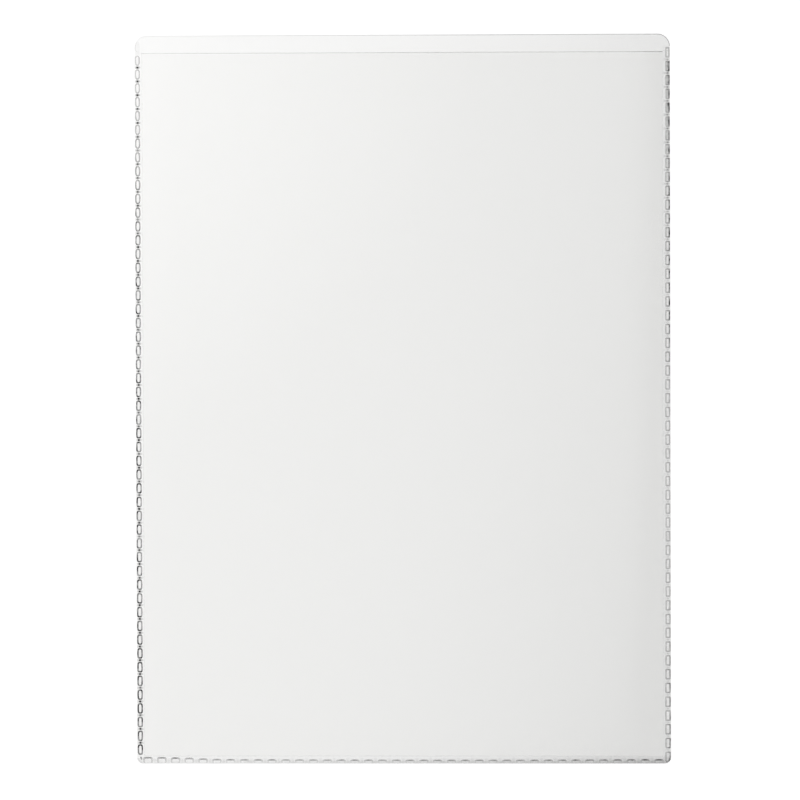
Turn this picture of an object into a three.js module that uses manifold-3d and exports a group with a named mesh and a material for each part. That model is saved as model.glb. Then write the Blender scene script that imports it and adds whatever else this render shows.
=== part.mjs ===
// Clear document sleeve: two plastic films laid one on the other and welded along the
// left, bottom and right edges with a chain of small embossed links. The top is open,
// and the back film stands above the front film there as a lip.
//
// Millimetres. The sleeve lies flat with +X across it, +Y towards the open mouth and
// +Z up through the front film. The origin is the middle of its underside.

import * as THREE from 'three';
import { mergeVertices } from 'three/addons/utils/BufferGeometryUtils.js';
import Module from 'manifold-3d';

const wasm = await Module();
wasm.setup();

// Outline of the sleeve
const sleeveWidth = 160;
const sleeveHeight = 218;
const lipHeight = 5.2;
const topCornerRadius = 3.75;
const bottomCornerRadius = 1.9;
const cornerSteps = 8;

// Thickness of each film, and the pocket between them
const backFilm = 0.2;
const frontFilm = 0.2;
const pocketGap = 0.3;

// The weld is a pressed band round three edges, with a chain of dished links left
// standing in it
const weldBand = 2.2;
const pressDepth = 0.1;
const filmSlope = 1.3;
const linkLength = 2.85;
const linkWidth = 1.5;
const linkGap = 1.3;
const linkTaper = 0.5;
const linkDraft = 0.15;
const linkRim = 0.4;
const dishDepth = 0.06;
const neckWidth = 0.5;

// How far the middle of each chain lies in from the cut edge
const leftChainInset = 1.02;
const rightChainInset = 0.86;
const bottomChainInset = 0.9;

// Where the chains end: past the mouth, and from the bottom, left and right edges
const leftChainOverLip = 3.5;
const rightChainOverLip = 1.27;
const leftChainFoot = 2.6;
const rightChainFoot = 0.35;
const bottomChainFromLeft = 1.75;
const bottomChainFromRight = 2.1;

const left = -sleeveWidth / 2;
const right = sleeveWidth / 2;
const bottom = -sleeveHeight / 2;
const top = sleeveHeight / 2;
const mouth = top - lipHeight;

const pocketFloor = backFilm;
const pocketRoof = backFilm + pocketGap;
const landThickness = frontFilm - pressDepth;
const landTop = pocketRoof + landThickness;
const frontFace = pocketRoof + frontFilm;

const filmMaterial = new THREE.MeshStandardMaterial({
  color: 0xe9e9e7,
  roughness: 0.12,
  metalness: 0,
  transparent: true,
  opacity: 0.4,
});

const weldMaterial = new THREE.MeshStandardMaterial({
  color: 0xd2d2d0,
  roughness: 0.2,
  metalness: 0,
  transparent: true,
  opacity: 0.6,
});

function solidFrom(geometry) {
  geometry.deleteAttribute('normal');
  geometry.deleteAttribute('uv');
  const merged = mergeVertices(geometry, 1e-5);
  return new wasm.Manifold(new wasm.Mesh({
    numProp: 3,
    vertProperties: merged.attributes.position.array,
    triVerts: new Uint32Array(merged.index.array),
  }));
}

function geometryFrom(solid) {
  const mesh = solid.getMesh();
  const geometry = new THREE.BufferGeometry();
  geometry.setAttribute('position', new THREE.BufferAttribute(mesh.vertProperties, 3));
  geometry.setIndex(new THREE.BufferAttribute(mesh.triVerts, 1));
  geometry.computeVertexNormals();
  return geometry;
}

// A flat layer of one or more outlines, standing from one height to another.
function layer(outlines, fromZ, toZ) {
  const geometry = new THREE.ExtrudeGeometry(outlines, {
    depth: toZ - fromZ,
    bevelEnabled: false,
    curveSegments: cornerSteps,
  });
  geometry.translate(0, 0, fromZ);
  return geometry;
}

// The line that the die cuts through both films: a rectangle with rounded corners.
function dieLine() {
  const corners = [
    { x: right, y: bottom, radius: bottomCornerRadius },
    { x: right, y: top, radius: topCornerRadius },
    { x: left, y: top, radius: topCornerRadius },
    { x: left, y: bottom, radius: bottomCornerRadius },
  ];
  const outline = new THREE.Shape();
  corners.forEach(({ x, y, radius }, index) => {
    const centreX = x - Math.sign(x) * radius;
    const centreY = y - Math.sign(y) * radius;
    const start = (index - 1) * Math.PI / 2;
    outline.absarc(centreX, centreY, radius, start, start + Math.PI / 2);
  });
  return outline;
}

function rectangle(x0, y0, x1, y1) {
  return new THREE.Shape([
    new THREE.Vector2(x0, y0),
    new THREE.Vector2(x1, y0),
    new THREE.Vector2(x1, y1),
    new THREE.Vector2(x0, y1),
  ]);
}

// Middles of the links of one chain, spread evenly between the ends of its run.
function linkCentres(from, to) {
  const gaps = Math.round((to - from - linkLength) / (linkLength + linkGap));
  const pitch = (to - from - linkLength) / gaps;
  const centres = [];
  for (let link = 0; link <= gaps; link++) {
    centres.push(from + linkLength / 2 + link * pitch);
  }
  return centres;
}

// Outline of links in a row along Y: each one narrows at both ends to a neck. A rim
// draws its sides in by that much all round.
function linksOutline(centres, rim = 0) {
  const acrossShare = 1 - 2 * rim / linkWidth;
  const alongShare = 1 - 2 * rim / linkLength;
  const halfLength = linkLength / 2;
  const corners = [
    [neckWidth / 2, -halfLength],
    [linkWidth / 2, linkTaper - halfLength],
    [linkWidth / 2, halfLength - linkTaper],
    [neckWidth / 2, halfLength],
  ];
  const side = centres.flatMap((centre) => corners.map(([across, along]) => (
    new THREE.Vector2(across * acrossShare, centre + along * alongShare)
  )));
  const otherSide = side.map((point) => new THREE.Vector2(-point.x, point.y)).reverse();
  return new THREE.Shape([...side, ...otherSide]);
}

// Each chain lies along Y here, and is turned and moved to its edge.
const chains = {
  left_weld: {
    centres: linkCentres(bottom + leftChainFoot, mouth + leftChainOverLip),
    x: left + leftChainInset,
    y: 0,
    turn: 0,
  },
  right_weld: {
    centres: linkCentres(bottom + rightChainFoot, mouth + rightChainOverLip),
    x: right - rightChainInset,
    y: 0,
    turn: 0,
  },
  bottom_weld: {
    centres: linkCentres(left + bottomChainFromLeft, right - bottomChainFromRight),
    x: 0,
    y: bottom + bottomChainInset,
    turn: -Math.PI / 2,
  },
};

function placedOnEdge(geometry, chain) {
  geometry.rotateZ(chain.turn);
  geometry.translate(chain.x, chain.y, 0);
  return solidFrom(geometry);
}

// Parts of the front film that stand at full thickness above the pressed band. Their
// walls slope in by the draft, and their feet reach down into the film's land.
function raisedPads(outlines, draft) {
  const foot = landThickness / 2;
  const geometry = new THREE.ExtrudeGeometry(outlines, {
    depth: foot,
    bevelEnabled: true,
    bevelThickness: pressDepth,
    bevelSize: draft,
    bevelOffset: -draft,
    bevelSegments: 1,
    curveSegments: cornerSteps,
  });
  geometry.translate(0, 0, landTop - foot);
  return geometry;
}

// The fused plastic that joins the films: a chain of links, as thick as the pocket is deep.
function weldSolid(chain) {
  const links = layer(linksOutline(chain.centres), pocketFloor, pocketRoof);
  return placedOnEdge(links, chain).intersect(solidFrom(layer(dieLine(), 0, pocketRoof)));
}

function backSheetSolid() {
  return solidFrom(layer(dieLine(), 0, backFilm));
}

// The front film ends at the mouth. It is thin in the pressed band, slopes up beside
// it, and stands at full thickness again over the pocket and round the rim of each link.
function frontSheetSolid() {
  const pastMouth = mouth + filmSlope;
  const panel = rectangle(left + weldBand, bottom + weldBand, right - weldBand, pastMouth);
  let film = solidFrom(layer(dieLine(), pocketRoof, landTop));
  film = film.add(solidFrom(raisedPads(panel, filmSlope)));
  for (const chain of Object.values(chains)) {
    const pads = chain.centres.map((centre) => linksOutline([centre]));
    const dishes = chain.centres.map((centre) => linksOutline([centre], linkRim));
    film = film.add(placedOnEdge(raisedPads(pads, linkDraft), chain));
    film = film.subtract(placedOnEdge(layer(dishes, frontFace - dishDepth, frontFace), chain));
  }
  const belowMouth = solidFrom(layer(rectangle(left, bottom, right, mouth), pocketRoof, frontFace));
  return film.intersect(belowMouth).intersect(solidFrom(layer(dieLine(), pocketRoof, frontFace)));
}

function namedMesh(name, solid, material) {
  const mesh = new THREE.Mesh(geometryFrom(solid), material);
  mesh.name = name;
  return mesh;
}

const sleeve = new THREE.Group();
sleeve.add(namedMesh('back_sheet', backSheetSolid(), filmMaterial));
for (const [name, chain] of Object.entries(chains)) {
  sleeve.add(namedMesh(name, weldSolid(chain), weldMaterial));
}
sleeve.add(namedMesh('front_sheet', frontSheetSolid(), filmMaterial));

export default sleeve;
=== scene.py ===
import math

import bmesh
import bpy
from mathutils import Matrix, Vector, noise


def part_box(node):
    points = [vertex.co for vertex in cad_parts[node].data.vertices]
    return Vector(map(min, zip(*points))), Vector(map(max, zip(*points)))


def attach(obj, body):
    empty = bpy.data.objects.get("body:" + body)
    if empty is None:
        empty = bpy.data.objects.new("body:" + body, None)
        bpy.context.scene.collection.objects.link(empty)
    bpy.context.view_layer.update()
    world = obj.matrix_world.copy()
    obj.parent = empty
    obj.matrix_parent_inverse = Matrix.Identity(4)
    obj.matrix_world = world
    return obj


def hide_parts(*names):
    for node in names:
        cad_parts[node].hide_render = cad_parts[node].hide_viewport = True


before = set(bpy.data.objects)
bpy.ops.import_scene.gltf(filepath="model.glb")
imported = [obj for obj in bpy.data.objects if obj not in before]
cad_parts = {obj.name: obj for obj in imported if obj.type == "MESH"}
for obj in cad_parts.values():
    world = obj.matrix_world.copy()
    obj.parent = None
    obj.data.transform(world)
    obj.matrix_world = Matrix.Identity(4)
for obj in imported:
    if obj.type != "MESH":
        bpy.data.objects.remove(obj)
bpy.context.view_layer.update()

# Pieces are drawn in millimetres and brought down to metres when they are finished. Places
# closer together than NEAR count as the same
MM = 0.001
NEAR = 0.01
X_AXIS = Vector((1, 0, 0))
Y_AXIS = Vector((0, 1, 0))


def solid_box(node):
    """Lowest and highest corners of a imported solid, in millimetres."""
    low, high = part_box(node)
    return low / MM, high / MM


# The sleeve's outline and heights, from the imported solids
BACK_LOW, BACK_HIGH = solid_box("back_sheet")
FRONT_LOW, FRONT_HIGH = solid_box("front_sheet")
LEFT, RIGHT = BACK_LOW.x, BACK_HIGH.x
BOTTOM, TOP = BACK_LOW.y, BACK_HIGH.y
FLOOR = BACK_LOW.z
BACK_FILM = BACK_HIGH.z - BACK_LOW.z
FRONT_FILM = FRONT_HIGH.z - FRONT_LOW.z
MOUTH = FRONT_HIGH.y
TOP_CORNER = 3.75
BOTTOM_CORNER = 1.9
CORNER_STEPS = 12

# The welded band round three edges, in which both films are fused into one
SEAM_WIDTH = 2.2
SEAM_HEIGHT = 0.3
SEAM_HEIGHT_ON_LIP = 0.2
PAST_LAST_LINK = 0.3
MOUTH_STEP = 0.12

# The links stand in the band as rims round clear dishes, with a bead between each pair
LINK_PITCH = 4.15
LINK_POINTS = 24
RIM_RISE = 0.08
RIM_WALL = 0.07
DISH_RISE = 0.02
BEAD_MARGIN = 0.08
BEAD_WIDTH = 0.68
BEAD_POINTS = 12
BEAD_SQUARENESS = 2.6
BEAD_RISE = 0.06
EDGE_MARGIN = 0.06
SEAM_SMOOTH_ANGLE = 35

# A short crease leads from the left chain's last link to the bottom chain's first. Its darkness
# is painted shade
CREASE_MIDDLE = Vector((LEFT + 1.25, BOTTOM + 1.66, SEAM_HEIGHT))
CREASE_TURN = math.radians(28)
CREASE_LENGTH = 1.0
CREASE_WIDTH = 0.5
# The crease's painted shade
CREASE_PAINTED_SHADE = 0.05

# The worn press: how far it shifts the links' outlines. Blotch is how dark the painted shade lies
# in random patches in the dishes. The larger a scale is, the closer together its shifts and
# patches lie
CRUMPLE = 0.05
CRUMPLE_SCALE = 0.9
CRUMPLE_ACROSS = Vector((0, 0, 7))
BLOTCH_SHADE = 0.5
BLOTCH_SCALE = 1.7

# How much of a bead's painted shade the land, the flat of the band, takes on round it
NECK_SHARE = 0.7

# Tones that the clear plastic's colour is multiplied by. A list of them is stops along X; most
# are painted shade that deepens towards the right, where less light falls
# Painted shade on the links' rims
RIM_PAINTED_SHADE = 0.02
# Painted shade along the front film's border at the seam
BORDER_PAINTED_SHADE = 0.93
# Painted shade on the step at the mouth
STEP_PAINTED_SHADE = 0.75
GLINT_TONE = 1.07
# Painted shade in the outline's bottom corners, deeper on the right
CORNER_PAINTED_SHADE = ((-80, 0.7), (80, 0.35))
# The lip's grey, with painted shade deepening towards the right
LIP_GREY_AND_PAINTED_SHADE = ((-80, 0.9), (-45, 0.88), (0, 0.885), (45, 0.825), (75, 0.755))
# Painted shade along the lip's cut edge
CUT_EDGE_PAINTED_SHADE = ((-80, 0.75), (0, 0.55), (30, 0.42), (72, 0.4), (80, 0.25))
# Painted shade along the front film's mouth edge
MOUTH_EDGE_PAINTED_SHADE = ((-80, 0.75), (-25, 0.72), (0, 0.58), (68, 0.58), (76, 0.35))

# The front film rises beside the seam and ripples over the pocket. Its faces are narrowest
# beside the seam, and its grid ends short of the mouth
FILM_SLOPE = 11.0
FILM_LIFT = 0.17
SLOPE_STEPS = 8
SLOPE_SPREAD = 1.5
AIR_AT_SEAM = 0.01
RIPPLE = 0.03
RIPPLE_SCALE = (0.028, 0.007)
FILM_GRID = (3, 5)
GRID_TO_MOUTH = 2
LIP_GRID = 8
FILM_SMOOTH_ANGLE = 6

# Along the cut edges of the mouth and the lip the film is a little lower and carries a strip of
# painted shade. The lip's edge is painted from a little past the mouth
CUT_WIDTH = 0.24
CUT_BLEND = 0.1
CUT_DROP = 0.03
LIP_MARK_START = 1.0

# The clear plastic: its colour, its refraction, how much lamplight passes through it, its
# roughness, and how strong and how fine the unevenness of its painted shade and its haze are
CLEAR_COLOUR = (0.917, 0.917, 0.911)
REFRACTION = 1.53
PASSED = 0.965
FILM_ROUGHNESS = 0.04
SEAM_ROUGHNESS = 0.05
UNEVENNESS = 0.9
UNEVENNESS_SCALE = 900.0
HAZE = 0.02
HAZE_SCALE = 180.0
NOISE_DETAIL = 3.0


class Value:
    """A number or colour in a node tree. Arithmetic on it adds Math nodes to the tree."""

    def __init__(self, tree, socket):
        self.tree = tree
        self.socket = socket

    def maths(self, operation, first, second):
        return self.tree.node("ShaderNodeMath", {"operation": operation}, {0: first, 1: second})

    def __add__(self, other):
        return self.maths("ADD", self, other)

    def __sub__(self, other):
        return self.maths("SUBTRACT", self, other)

    def __rsub__(self, other):
        return self.maths("SUBTRACT", other, self)

    def __mul__(self, other):
        return self.maths("MULTIPLY", self, other)

    def __truediv__(self, other):
        return self.maths("DIVIDE", self, other)

    def __pow__(self, other):
        return self.maths("POWER", self, other)

    __radd__ = __add__
    __rmul__ = __mul__

    def clamped(self):
        return self.tree.node("ShaderNodeClamp", {}, {"Value": self})


class Tree:
    """The nodes of a material or of the world, each made with its settings and inputs."""

    def __init__(self, owner):
        owner.use_nodes = True
        self.nodes = owner.node_tree.nodes
        self.links = owner.node_tree.links
        self.nodes.clear()

    def node(self, kind, settings, inputs, output=0):
        """Adds a node and gives one of its outputs. Inputs are other nodes' or constants."""
        made = self.nodes.new(kind)
        for name, value in settings.items():
            setattr(made, name, value)
        for key, value in inputs.items():
            if isinstance(value, Value):
                self.links.new(value.socket, made.inputs[key])
            else:
                made.inputs[key].default_value = value
        return Value(self, made.outputs[output]) if made.outputs else None

    def noise(self, scale):
        place = self.node("ShaderNodeTexCoord", {}, {}, output="Object")
        return self.node("ShaderNodeTexNoise", {},
                         {"Vector": place, "Scale": scale, "Detail": NOISE_DETAIL})

    def ray(self, kind):
        """1 for light paths of that kind, and 0 for all others."""
        return self.node("ShaderNodeLightPath", {}, {}, output=f"Is {kind} Ray")

    def seen(self):
        """1 for what the camera sees, also through the sleeve or mirrored in it."""
        return (self.ray("Camera") + self.ray("Glossy") + self.ray("Transmission")).clamped()

    def surface(self, shader):
        self.node("ShaderNodeOutputMaterial", {}, {"Surface": shader})


def grey(level):
    return (level, level, level, 1.0)


def clear_plastic(name, roughness):
    """Clear film as glass that lamps shine through. A piece's tone paints shade on its darker
    lines and highlight on its brighter ones, and the darkest painted shade comes out uneven at
    random."""
    material = bpy.data.materials.new(name)
    tree = Tree(material)
    tone = tree.node("ShaderNodeAttribute", {"attribute_name": "tone"}, {}, output="Fac")
    dark = 1.0 - tone
    # Noise makes the darkest painted shade uneven
    uneven_shading = tone + dark * dark * (tree.noise(UNEVENNESS_SCALE) - 0.5) * UNEVENNESS
    glass = tree.node("ShaderNodeBsdfPrincipled", {}, {
        "Base Color": tree.node("ShaderNodeVectorMath", {"operation": "SCALE"},
                                {0: CLEAR_COLOUR, "Scale": uneven_shading.clamped()}),
        "Transmission Weight": 1.0,
        "IOR": REFRACTION,
        "Roughness": roughness + tree.noise(HAZE_SCALE) * HAZE,
    })
    clear = tree.node("ShaderNodeBsdfTransparent", {}, {"Color": grey(PASSED)})
    shown = glass
    for kind in ("Diffuse", "Shadow"):
        shown = tree.node("ShaderNodeMixShader", {}, {"Fac": tree.ray(kind), 1: shown, 2: clear})
    tree.surface(shown)
    return material


film_clear = clear_plastic("clear_film", FILM_ROUGHNESS)
seam_clear = clear_plastic("pressed_weld", SEAM_ROUGHNESS)


def rectangle(low_x, low_y, high_x, high_y):
    """A bmesh with one flat rectangle."""
    bm = bmesh.new()
    bmesh.ops.create_grid(bm, x_segments=1, y_segments=1, size=0.5)
    bmesh.ops.scale(bm, vec=(high_x - low_x, high_y - low_y, 1), verts=bm.verts)
    bmesh.ops.translate(bm, vec=((low_x + high_x) / 2, (low_y + high_y) / 2, 0), verts=bm.verts)
    return bm


def cut_across(bm, axis, places):
    """Cuts every face where the axis has one of the places."""
    for place in places:
        bmesh.ops.bisect_plane(bm, geom=bm.verts[:] + bm.edges[:] + bm.faces[:],
                               plane_co=axis * place, plane_no=axis)


def round_corners(bm, verts, radius):
    bmesh.ops.bevel(bm, geom=verts, offset=radius, segments=CORNER_STEPS, profile=0.5,
                    affect="VERTICES", material=-1)


def put_in_order(elements, key):
    """Sorts a bmesh's points, edges or faces, so that each run gives the same mesh."""
    ranks = {element: rank for rank, element in enumerate(sorted(elements, key=key))}
    elements.sort(key=ranks.get)
    elements.index_update()


def finished(name, bm, material, node, smooth_angle):
    """Makes a piece from a bmesh in millimetres, in place of the named solid."""
    bmesh.ops.recalc_face_normals(bm, faces=bm.faces)
    put_in_order(bm.verts, lambda vert: tuple(vert.co))
    for elements in (bm.edges, bm.faces):
        put_in_order(elements, lambda element: sorted(vert.index for vert in element.verts))
    bmesh.ops.scale(bm, vec=(MM, MM, MM), verts=bm.verts)
    mesh = bpy.data.meshes.new(name)
    bm.to_mesh(mesh)
    bm.free()
    mesh.materials.append(material)
    mesh.shade_smooth()
    mesh.set_sharp_from_angle(angle=math.radians(smooth_angle))
    piece = bpy.data.objects.new(name, mesh)
    bpy.context.collection.objects.link(piece)
    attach(piece, "root")
    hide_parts(node)


def between(stops, place):
    """A value read off (place, value) stops, straight between them."""
    if place <= stops[0][0]:
        return stops[0][1]
    for (low, first), (high, second) in zip(stops, stops[1:]):
        if place <= high:
            return first + (second - first) * (place - low) / (high - low)
    return stops[-1][1]


class Chain:
    """The links along one edge. Their frame has X from the cut edge inwards and Y along it.
    What changes along the chain is given as stops, as between() takes them."""

    def __init__(self, node, seam, edge_point, inward):
        self.node = node
        self.seam = seam
        self.along = X_AXIS if inward.y else Y_AXIS
        self.frame = Matrix.Identity(4)
        self.frame.col[0] = (*inward, 0)
        self.frame.col[1] = (*self.along, 0)
        self.frame.translation = edge_point
        low, high = solid_box(node)
        self.start, self.end = low.dot(self.along), high.dot(self.along)

    def shape(self, outer, inner, link_length, squareness, rim, lean, crest, beads):
        """Depths of the links' outer and inner sides from the cut edge, and their form. Lean
        moves the dishes towards the cut edge, and crest makes a rim's middle the darkest in
        painted shade. Beads says how dark the beads' painted shade is."""
        self.outer = outer
        self.inner = inner
        self.link_length = link_length
        self.squareness = squareness
        self.rim = rim
        self.lean = lean
        self.crest = crest
        self.beads = beads

    def tones(self, outer, inner, dish, land):
        """How strong the rims' painted shade is on either side, and how dark dish and land are:
        painted shade in the dishes, and on the land the weld's grey with painted shade deeper
        towards the right and the bottom.
        """
        self.outer_shading = outer
        self.inner_shading = inner
        self.dish = dish
        self.land = land

    def middles(self):
        """Middles of the links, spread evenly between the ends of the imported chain."""
        gaps = round((self.end - self.start - self.link_length) / LINK_PITCH)
        pitch = (self.end - self.start - self.link_length) / gaps
        first = self.start + self.link_length / 2
        return [first + pitch * link for link in range(gaps + 1)]

    def sides(self, place):
        return between(self.outer, place), between(self.inner, place)

    def spot(self, place):
        """The frame of a link or bead whose middle lies at a place along the chain."""
        return self.frame @ Matrix.Translation((sum(self.sides(place)) / 2, place, SEAM_HEIGHT))

    def share_inwards(self, point):
        """How far a point of a link lies from its outer to its inner side, from 0 to 1."""
        outer, inner = self.sides(point.dot(self.along))
        depth = (self.frame.inverted() @ point).x
        return min(max((depth - outer) / (inner - outer), 0.0), 1.0)

    def rim_painted_shade(self, point):
        """The rim's painted shade at a point, between its outer and its inner side."""
        place = point.dot(self.along)
        mark = between(self.outer_shading, place)
        mark += (between(self.inner_shading, place) - mark) * self.share_inwards(point)
        off_middle = min(abs(place - middle) for middle in self.middles())
        mark *= 1 - self.crest * (2 * off_middle / self.link_length) ** 2
        return 1 - (1 - RIM_PAINTED_SHADE) * min(mark, 1.0)

    def dish_painted_shade(self, point):
        """The dish's painted shade at a point: darkest at its outer side, with random blotches of
        painted shade.
        """
        dark = 2 * (1 - between(self.dish, point.dot(self.along)))
        blotch = max(noise.noise(point * BLOTCH_SCALE), 0.0)
        return 1 - dark * (1 - self.share_inwards(point)) - BLOTCH_SHADE * blotch

    def bead_painted_shade(self, point):
        """A bead's painted shade at a point, from how dark the chain's beads are painted there.
        """
        return 1 - between(self.beads, point.dot(self.along))


# The chains' tones paint shade on rims, dishes and beads; their land is the weld's grey with
# painted shade deeper towards the right and the bottom
LEFT_CHAIN = Chain("left_weld", "left_seam", Vector((LEFT, 0, 0)), X_AXIS)
LEFT_CHAIN.shape(
    outer=((-109, 0.18), (-60, 0.12), (0, 0.06), (60, 0.06), (90, 0.12)),
    inner=((-109, 1.85), (-60, 1.85), (0, 1.75), (90, 1.75)),
    link_length=3.25, squareness=((-109, 4.0), (-30, 4.0), (60, 2.8)), rim=0.36,
    lean=0.0, crest=-0.15, beads=((102, 1.0), (103, 0.1)),
)
LEFT_CHAIN.tones(
    outer=((-60, 1.0), (0, 1.0), (30, 0.9), (60, 0.85), (86, 0.65), (102.5, 0.5), (104, 0.35)),
    inner=((-90, 0.95), (-60, 0.8), (60, 0.8), (102.5, 0.6), (104, 0.1)),
    dish=((-109, 0.95), (109, 0.95)),
    land=((-109, 0.92), (-40, 0.96), (109, 0.98)),
)
RIGHT_CHAIN = Chain("right_weld", "right_seam", Vector((RIGHT, 0, 0)), -X_AXIS)
RIGHT_CHAIN.shape(
    outer=((-109, 0.05), (109, 0.05)),
    inner=((-90, 1.8), (-60, 1.65), (-30, 1.62), (0, 1.65), (60, 1.55), (90, 1.45)),
    link_length=3.3, squareness=((-109, 7.0), (109, 7.0)), rim=0.36,
    lean=0.0, crest=0.0, beads=((35, 0.35), (70, 0.8), (101, 0.8), (102, 0.3)),
)
RIGHT_CHAIN.tones(
    outer=((-109, 0.95), (-80, 0.85), (-60, 0.7), (-5, 0.7), (25, 1.0), (101, 1.0), (102, 0.6)),
    inner=((-109, 0.6), (50, 0.55), (101, 0.6)),
    dish=((-109, 0.98), (45, 0.95), (62, 0.75), (80, 0.45), (101, 0.4), (102, 0.9)),
    land=((-109, 0.84), (109, 0.84)),
)
BOTTOM_CHAIN = Chain("bottom_weld", "bottom_seam", Vector((0, BOTTOM, 0)), Y_AXIS)
BOTTOM_CHAIN.shape(
    outer=((-80, 0.15), (80, 0.1)),
    inner=((-77, 2.05), (-72, 2.0), (-64, 1.8), (-56, 1.45), (-45, 1.35), (0, 1.2), (40, 1.2),
           (75, 1.35)),
    link_length=3.05, squareness=((-80, 5.0), (-60, 3.5), (80, 3.2)), rim=0.42,
    lean=0.8, crest=0.5, beads=((0, 0.2),),
)
BOTTOM_CHAIN.tones(
    outer=((-77, 0.55), (-65, 0.3), (-50, 0.05), (80, 0.1)),
    inner=((-80, 1.0), (-20, 1.0), (80, 1.15)),
    dish=((-80, 1.0), (-50, 1.1), (80, 1.1)),
    land=((-75, 0.97), (-46, 0.92), (-20, 0.92), (8, 0.89), (35, 0.89), (62, 0.79)),
)

# Where the seam ends and its three pieces part
CLEAR_LEFT = LEFT + SEAM_WIDTH
CLEAR_RIGHT = RIGHT - SEAM_WIDTH
CLEAR_BOTTOM = BOTTOM + SEAM_WIDTH
LEFT_SEAM_TOP = LEFT_CHAIN.end + PAST_LAST_LINK
RIGHT_SEAM_TOP = RIGHT_CHAIN.end + PAST_LAST_LINK
CORNER_SPLIT = (BOTTOM_CHAIN.end + solid_box("right_weld")[0].x) / 2


def piece_at(point):
    """Which piece the die-cut outline belongs to at a point."""
    if point.y < CLEAR_BOTTOM:
        return "bottom_seam" if point.x < CORNER_SPLIT else "right_seam"
    if point.x < CLEAR_LEFT and point.y < LEFT_SEAM_TOP:
        return "left_seam"
    if point.x > CLEAR_RIGHT and point.y < RIGHT_SEAM_TOP:
        return "right_seam"
    return "back_film"


def die_cut(name, borders=()):
    """A bmesh with the part of the flat die-cut outline that is the named piece. Borders are
    the widths of strips set off along the cut edge."""
    bm = rectangle(LEFT, BOTTOM, RIGHT, TOP)
    bm.verts.layers.float.new("tone")
    round_corners(bm, [v for v in bm.verts if v.co.y > 0], TOP_CORNER)
    round_corners(bm, [v for v in bm.verts if v.co.y < BOTTOM + NEAR], BOTTOM_CORNER)
    for width in borders:
        middle = max(bm.faces, key=lambda face: face.calc_area())
        bmesh.ops.inset_region(bm, faces=[middle], thickness=width, use_boundary=True,
                               use_even_offset=True)
    cut_across(bm, X_AXIS, (CLEAR_LEFT, CORNER_SPLIT, CLEAR_RIGHT))
    cut_across(bm, Y_AXIS, (CLEAR_BOTTOM, RIGHT_SEAM_TOP, LEFT_SEAM_TOP))
    others = [face for face in bm.faces if piece_at(face.calc_center_median()) != name]
    bmesh.ops.delete(bm, geom=others, context="FACES")
    return bm


def spaced(start, end, step):
    """Places between a start and an end, about a step apart."""
    count = max(1, round((end - start) / step))
    return [start + (end - start) * i / count for i in range(1, count)]


def depth_from_cut(point):
    """How far a point lies inside the die-cut outline, in its upper half."""
    from_corner = Vector((abs(point.x) - (RIGHT - TOP_CORNER), point.y - (TOP - TOP_CORNER)))
    beyond = Vector((max(from_corner.x, 0.0), max(from_corner.y, 0.0)))
    return TOP_CORNER - beyond.length - min(max(from_corner.x, from_corner.y), 0.0)


def back_film():
    """The taller film: flat, its lip grey with painted shade deeper towards the right, painted
    shade along the lip's cut edge and a painted glint beside the mouth.
    """
    bm = die_cut("back_film", (CUT_WIDTH, CUT_BLEND))
    glint = MOUTH + CUT_BLEND
    cut_across(bm, Y_AXIS, (MOUTH, glint, glint + CUT_WIDTH, glint + CUT_WIDTH + CUT_BLEND))
    cut_across(bm, X_AXIS, spaced(CLEAR_LEFT, CLEAR_RIGHT, LIP_GRID))
    tone = bm.verts.layers.float["tone"]
    for vert in bm.verts:
        vert[tone] = 1.0
    for item in bmesh.ops.extrude_face_region(bm, geom=bm.faces[:])["geom"]:
        if isinstance(item, bmesh.types.BMVert):
            item.co.z = BACK_FILM
            on_lip = item.co.y > MOUTH + LIP_MARK_START
            depth = depth_from_cut(item.co)
            # The lip's grey with painted shade deepening to the right
            if item.co.y > MOUTH:
                item[tone] = between(LIP_GREY_AND_PAINTED_SHADE, item.co.x)
            # Painted shade along the lip's cut edge
            if on_lip and depth < CUT_WIDTH + NEAR:
                item[tone] = between(CUT_EDGE_PAINTED_SHADE, item.co.x)
            if on_lip and depth < NEAR:
                item.co.z -= CUT_DROP
            if glint - NEAR < item.co.y < glint + CUT_WIDTH + NEAR:
                item[tone] *= GLINT_TONE
    finished("back_film", bm, film_clear, "back_sheet", FILM_SMOOTH_ANGLE)


def film_height(x, y):
    """Underside of the front film: down on the back film at the weld, up over the pocket."""
    from_seam = min(x - CLEAR_LEFT, CLEAR_RIGHT - x, y - CLEAR_BOTTOM)
    lift = min(max(from_seam / FILM_SLOPE, 0.0), 1.0)
    lift = lift * (2 - lift)
    ripple = RIPPLE * noise.noise(Vector((x * RIPPLE_SCALE[0], y * RIPPLE_SCALE[1], 0)))
    return BACK_FILM + AIR_AT_SEAM + (FILM_LIFT + ripple) * lift


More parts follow.
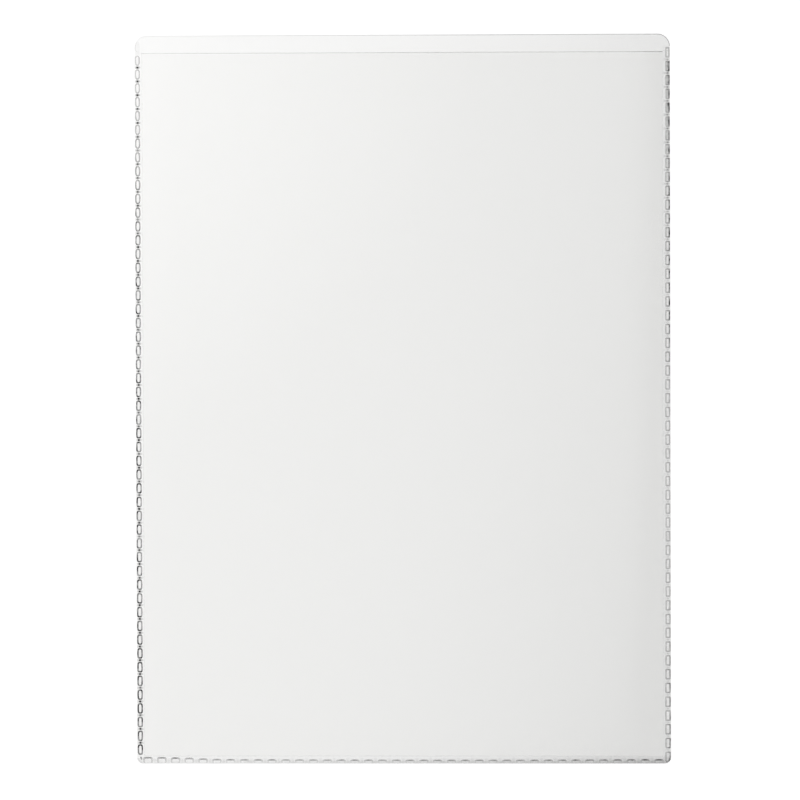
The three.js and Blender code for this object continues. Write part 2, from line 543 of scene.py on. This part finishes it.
def front_film():
    """The shorter film: it rises off the back film beside the weld and lies over the pocket."""
    bm = rectangle(CLEAR_LEFT, CLEAR_BOTTOM, CLEAR_RIGHT, MOUTH)
    tone = bm.verts.layers.float.new("tone")
    rise = [FILM_SLOPE * (step / SLOPE_STEPS) ** SLOPE_SPREAD
            for step in range(1, SLOPE_STEPS + 1)]
    border = [CUT_WIDTH, CUT_WIDTH + CUT_BLEND]
    cut_across(bm, X_AXIS, [CLEAR_LEFT + step for step in border + rise])
    cut_across(bm, X_AXIS, [CLEAR_RIGHT - step for step in border + rise])
    cut_across(bm, Y_AXIS, [CLEAR_BOTTOM + step for step in border + rise])
    cut_across(bm, Y_AXIS, [MOUTH - step for step in border])
    grid_x, grid_y = FILM_GRID
    cut_across(bm, X_AXIS, spaced(CLEAR_LEFT + FILM_SLOPE, CLEAR_RIGHT - FILM_SLOPE, grid_x))
    cut_across(bm, Y_AXIS, spaced(CLEAR_BOTTOM + FILM_SLOPE, MOUTH - GRID_TO_MOUTH, grid_y))
    raised = bmesh.ops.extrude_face_region(bm, geom=bm.faces[:])["geom"]
    upper = {item for item in raised if isinstance(item, bmesh.types.BMVert)}
    for vert in bm.verts:
        x, y = vert.co.x, vert.co.y
        vert.co.z = film_height(x, y)
        vert[tone] = 1.0
        if vert in upper:
            vert.co.z += FRONT_FILM
            # Painted shade along the border at the seam
            if min(x - CLEAR_LEFT, CLEAR_RIGHT - x, y - CLEAR_BOTTOM) < CUT_WIDTH + NEAR:
                vert[tone] = BORDER_PAINTED_SHADE
            # Painted shade along the mouth edge, deeper towards the right
            if MOUTH - y < CUT_WIDTH + NEAR:
                vert[tone] = between(MOUTH_EDGE_PAINTED_SHADE, x)
            if MOUTH - y < NEAR:
                vert.co.z -= CUT_DROP
    finished("front_film", bm, film_clear, "front_sheet", FILM_SMOOTH_ANGLE)


def crumpled(point):
    """A point of a link's outline as the worn press really set it."""
    place = Vector((point.x, point.y, 0)) * CRUMPLE_SCALE
    shift = Vector((noise.noise(place), noise.noise(place + CRUMPLE_ACROSS), 0))
    return point + CRUMPLE * shift


def kept_inside(point):
    """A point of a link, drawn in where it would pass one of the outline's rounded corners."""
    radius = TOP_CORNER if point.y > 0 else BOTTOM_CORNER
    centre = Vector((math.copysign(RIGHT - radius, point.x),
                     math.copysign(TOP - radius, point.y), point.z))
    outward = point - centre
    in_corner = outward.x * centre.x > 0 and outward.y * centre.y > 0
    if in_corner and outward.length > radius - EDGE_MARGIN:
        return centre + outward.normalized() * (radius - EDGE_MARGIN)
    return point


def pad(bm, spot, width, length, points, squareness):
    """A flat rounded pad as one face: an ellipse drawn out towards its own corners."""
    made = bmesh.ops.create_circle(bm, cap_ends=True, segments=points, radius=1)["verts"]
    for vert in made:
        across = math.copysign(abs(vert.co.x) ** (2 / squareness), vert.co.x)
        along = math.copysign(abs(vert.co.y) ** (2 / squareness), vert.co.y)
        place = spot @ Vector((across * width / 2, along * length / 2, 0))
        vert.co = kept_inside(crumpled(place))
    return made[0].link_faces[0]


def join_round(bm, cells, pad_face, chain):
    """Joins a pad to the cell of the band that it stands in. Each cell holds one pad."""
    place = pad_face.calc_center_bounds().dot(chain.along)
    cell = min(cells, key=lambda face: abs(face.calc_center_bounds().dot(chain.along) - place))
    edges = cell.edges[:] + pad_face.edges[:]
    cells.remove(cell)
    bmesh.ops.delete(bm, geom=[cell], context="FACES_ONLY")
    bmesh.ops.triangle_fill(bm, use_beauty=True, edges=edges, normal=(0, 0, 1))


def press(bm, faces, chain, inset, rise, tone_at):
    """Steps each pad in by the inset and up by the rise, and returns the pads' new faces."""
    tone = bm.verts.layers.float["tone"]
    lean = chain.frame.col[0] * chain.lean
    faces = bmesh.ops.extrude_discrete_faces(bm, faces=faces)["faces"]
    for face in faces:
        middle = face.calc_center_bounds()
        half = [max(abs(vert.co[axis] - middle[axis]) for vert in face.verts) for axis in (0, 1)]
        for vert in face.verts:
            for axis in (0, 1):
                still = middle[axis] - half[axis] * lean[axis]
                reach = half[axis] * (1 + abs(lean[axis]))
                vert.co[axis] = still + (vert.co[axis] - still) * (1 - inset / reach)
            vert.co.z = SEAM_HEIGHT + rise
            # A pad takes the land's tone times its own painted shade
            vert[tone] = between(chain.land, vert.co.dot(chain.along)) * tone_at(vert.co)
    return faces


def in_bottom_corner(point):
    return abs(point.x) > RIGHT - BOTTOM_CORNER and point.y < BOTTOM + BOTTOM_CORNER


def pads_of(bm, chain):
    """Flat pads of a chain's links and beads, and of the crease in its corner if it has one."""
    middles = chain.middles()
    links = []
    for middle in middles:
        outer, inner = chain.sides(middle)
        links.append(pad(bm, chain.spot(middle), inner - outer, chain.link_length, LINK_POINTS,
                         between(chain.squareness, middle)))
    bead_length = middles[1] - middles[0] - chain.link_length - 2 * BEAD_MARGIN
    beads = [pad(bm, chain.spot((first + second) / 2), BEAD_WIDTH, bead_length, BEAD_POINTS,
                 BEAD_SQUARENESS)
             for first, second in zip(middles, middles[1:])]
    creases = []
    if chain is BOTTOM_CHAIN:
        spot = Matrix.Translation(CREASE_MIDDLE) @ Matrix.Rotation(CREASE_TURN, 4, "Z")
        creases = [pad(bm, spot, CREASE_WIDTH, CREASE_LENGTH, BEAD_POINTS, BEAD_SQUARENESS)]
    return links, beads, creases


def tone_land(bm, chain, outline, beads):
    """Tones of the flat band: the weld's grey with painted shade, darker in the outline's bottom
    corners and round the beads.
    """
    tone = bm.verts.layers.float["tone"]
    for vert in bm.verts:
        vert[tone] = between(chain.land, vert.co.dot(chain.along))
    for vert in outline:
        # Painted shade in the bottom corners
        if in_bottom_corner(vert.co):
            vert[tone] *= between(CORNER_PAINTED_SHADE, vert.co.x)
    # Painted shade spread from the beads onto the land
    for vert in {vert for bead in beads for vert in bead.verts}:
        vert[tone] *= 1 - NECK_SHARE * (1 - chain.bead_painted_shade(vert.co))


def step_at_mouth(bm):
    """Lowers the band past the mouth, where only the back film is left, by a step with painted
    shade on it.
    """
    tone = bm.verts.layers.float["tone"]
    step_top = MOUTH + MOUTH_STEP
    cut_across(bm, Y_AXIS, (MOUTH - CUT_BLEND, MOUTH, step_top, step_top + CUT_BLEND))
    for vert in bm.verts:
        if vert.co.y > MOUTH + MOUTH_STEP / 2:
            vert.co.z += SEAM_HEIGHT_ON_LIP - SEAM_HEIGHT
        # Painted shade on the step
        if MOUTH - NEAR < vert.co.y < step_top + NEAR:
            vert[tone] *= STEP_PAINTED_SHADE


def close_below(bm):
    """Walls down to the floor from the band's rim, and a face under them."""
    rim = [edge for edge in bm.edges if edge.is_boundary]
    walls = bmesh.ops.extrude_edge_only(bm, edges=rim)["geom"]
    for item in walls:
        if isinstance(item, bmesh.types.BMVert):
            item.co.z = FLOOR
    foot = [item for item in walls if isinstance(item, bmesh.types.BMEdge) and item.is_boundary]
    bmesh.ops.edgeloop_fill(bm, edges=foot)


def seam(chain):
    """One run of the weld: a pressed band with its chain of links standing in it."""
    bm = die_cut(chain.seam)
    bmesh.ops.translate(bm, vec=(0, 0, SEAM_HEIGHT), verts=bm.verts)
    bmesh.ops.dissolve_faces(bm, faces=bm.faces[:])
    outline = bm.verts[:]
    half_cell = chain.link_length / 2 + EDGE_MARGIN
    cut_across(bm, chain.along, [middle - half_cell for middle in chain.middles()])
    cut_across(bm, chain.along, [middle + half_cell for middle in chain.middles()])
    cells = bm.faces[:]
    links, beads, creases = pads_of(bm, chain)
    for pad_face in links + beads + creases:
        join_round(bm, cells, pad_face, chain)
    tone_land(bm, chain, outline, beads)
    links = press(bm, links, chain, RIM_WALL, RIM_RISE, chain.rim_painted_shade)
    links = press(bm, links, chain, chain.rim, RIM_RISE, chain.rim_painted_shade)
    press(bm, links, chain, RIM_WALL, DISH_RISE, chain.dish_painted_shade)
    press(bm, beads, chain, RIM_WALL, BEAD_RISE, chain.bead_painted_shade)
    press(bm, creases, chain, RIM_WALL, BEAD_RISE, lambda point: CREASE_PAINTED_SHADE)
    step_at_mouth(bm)
    close_below(bm)
    finished(chain.seam, bm, seam_clear, chain.node, SEAM_SMOOTH_ANGLE)


back_film()
front_film()
for chain in (LEFT_CHAIN, BOTTOM_CHAIN, RIGHT_CHAIN):
    seam(chain)


# Floor, backdrop and light, in metres
FLOOR_SIZE = 6.0
FLOOR_DROP = 0.0001
FLOOR_GREY = 0.86
FLOOR_GLOW = 0.555
WORLD_LIGHT = 0.45
SOFTBOX_SIZE = 0.75
SOFTBOX_PLACE = (-0.45, 0.25, 1.0)

# The softbox's light ends along a slanted and bowed line, and fades towards it. A hot spot
# lies above the sleeve's upper left corner
LIGHT_END = 0.135
END_SLANT = 0.134
END_BOW = 0.3
FADE_LENGTH = 0.12
FADE_STRENGTH = 1.54
HOT_SPOT = (-0.21, 0.17)
HOT_SPOT_RADIUS = 0.22
HOT_SPOT_STRENGTH = 0.62


def staged_plane(name, material, size, place):
    """A large flat plane that is no part of the sleeve, in metres."""
    bm = bmesh.new()
    bmesh.ops.create_grid(bm, x_segments=1, y_segments=1, size=size)
    bmesh.ops.translate(bm, vec=place, verts=bm.verts)
    mesh = bpy.data.meshes.new(name)
    bm.to_mesh(mesh)
    bm.free()
    mesh.materials.append(material)
    plane = bpy.data.objects.new(name, mesh)
    bpy.context.collection.objects.link(plane)
    return plane


def pale_floor():
    """A matte floor just under the sleeve, lifted to white where it is seen."""
    material = bpy.data.materials.new("pale_floor")
    tree = Tree(material)
    matte = tree.node("ShaderNodeBsdfDiffuse", {}, {"Color": grey(FLOOR_GREY)})
    glow = tree.node("ShaderNodeEmission", {}, {"Color": grey(1.0), "Strength": FLOOR_GLOW})
    lit = tree.node("ShaderNodeAddShader", {}, {0: matte, 1: glow})
    seen = tree.seen()
    tree.surface(tree.node("ShaderNodeMixShader", {}, {"Fac": seen, 1: matte, 2: lit}))
    staged_plane("floor", material, FLOOR_SIZE, (0, 0, FLOOR * MM - FLOOR_DROP))


def surroundings():
    """A white backdrop that lights the sleeve more softly than it looks."""
    world = bpy.data.worlds.new("studio")
    bpy.context.scene.world = world
    tree = Tree(world)
    plain = tree.node("ShaderNodeBackground", {}, {"Color": grey(1.0), "Strength": WORLD_LIGHT})
    white = tree.node("ShaderNodeBackground", {}, {"Color": grey(1.0), "Strength": 1.0})
    seen = tree.seen()
    both = tree.node("ShaderNodeMixShader", {}, {"Fac": seen, 1: plain, 2: white})
    tree.node("ShaderNodeOutputWorld", {}, {"Surface": both})


def softbox():
    """A broad lamp panel overhead, brightest to the left and fading to the right."""
    material = bpy.data.materials.new("softbox")
    tree = Tree(material)
    place = tree.node("ShaderNodeTexCoord", {}, {}, output="Object")
    x = tree.node("ShaderNodeSeparateXYZ", {}, {0: place}, output="X")
    y = tree.node("ShaderNodeSeparateXYZ", {}, {0: place}, output="Y")
    from_end = (LIGHT_END - x + y * END_SLANT - y * y * END_BOW).clamped()
    fade = from_end / (from_end + FADE_LENGTH)
    spot_x, spot_y = x - HOT_SPOT[0], y - HOT_SPOT[1]
    hot_spot = (1.0 - (spot_x * spot_x + spot_y * spot_y) ** 0.5 / HOT_SPOT_RADIUS).clamped()
    strength = fade * FADE_STRENGTH + hot_spot * HOT_SPOT_STRENGTH
    tree.surface(tree.node("ShaderNodeEmission", {}, {"Color": grey(1.0), "Strength": strength}))
    panel = staged_plane("softbox", material, SOFTBOX_SIZE, SOFTBOX_PLACE)
    panel.visible_camera = False


# The photograph is 800 pixels square and shows the sleeve from nearly straight above: the
# camera leans a little to the right and to the top
FRAME_PIXELS = 800
SLEEVE_PIXELS_HIGH = 729.0
SLEEVE_CENTRE = (402.25, 399.3)
CAMERA_DISTANCE = 1.6
CAMERA_RANGE = (0.01, 20.0)
SENSOR_WIDTH = 36.0
CAMERA_TURN = math.radians(-0.17)
CAMERA_LEAN = (math.radians(1.7), math.radians(1.4))


def camera():
    """The camera, far enough away to show the sleeve as large as the photograph does."""
    pixel = (TOP - BOTTOM) * MM / SLEEVE_PIXELS_HIGH
    data = bpy.data.cameras.new("camera")
    data.sensor_width = SENSOR_WIDTH
    data.lens = SENSOR_WIDTH * CAMERA_DISTANCE / (pixel * FRAME_PIXELS)
    data.clip_start, data.clip_end = CAMERA_RANGE
    view = bpy.data.objects.new("camera", data)
    off_x = (SLEEVE_CENTRE[0] - FRAME_PIXELS / 2) * pixel
    off_y = (SLEEVE_CENTRE[1] - FRAME_PIXELS / 2) * pixel
    right, up = CAMERA_LEAN
    towards = Vector((math.sin(right), math.sin(up), 1.0)).normalized()
    view.location = Vector((-off_x, off_y, 0)) + towards * CAMERA_DISTANCE
    view.rotation_euler = (-up, right, CAMERA_TURN)
    bpy.context.collection.objects.link(view)
    bpy.context.scene.camera = view


pale_floor()
surroundings()
softbox()
camera()
bpy.context.scene.view_settings.view_transform = "Standard"
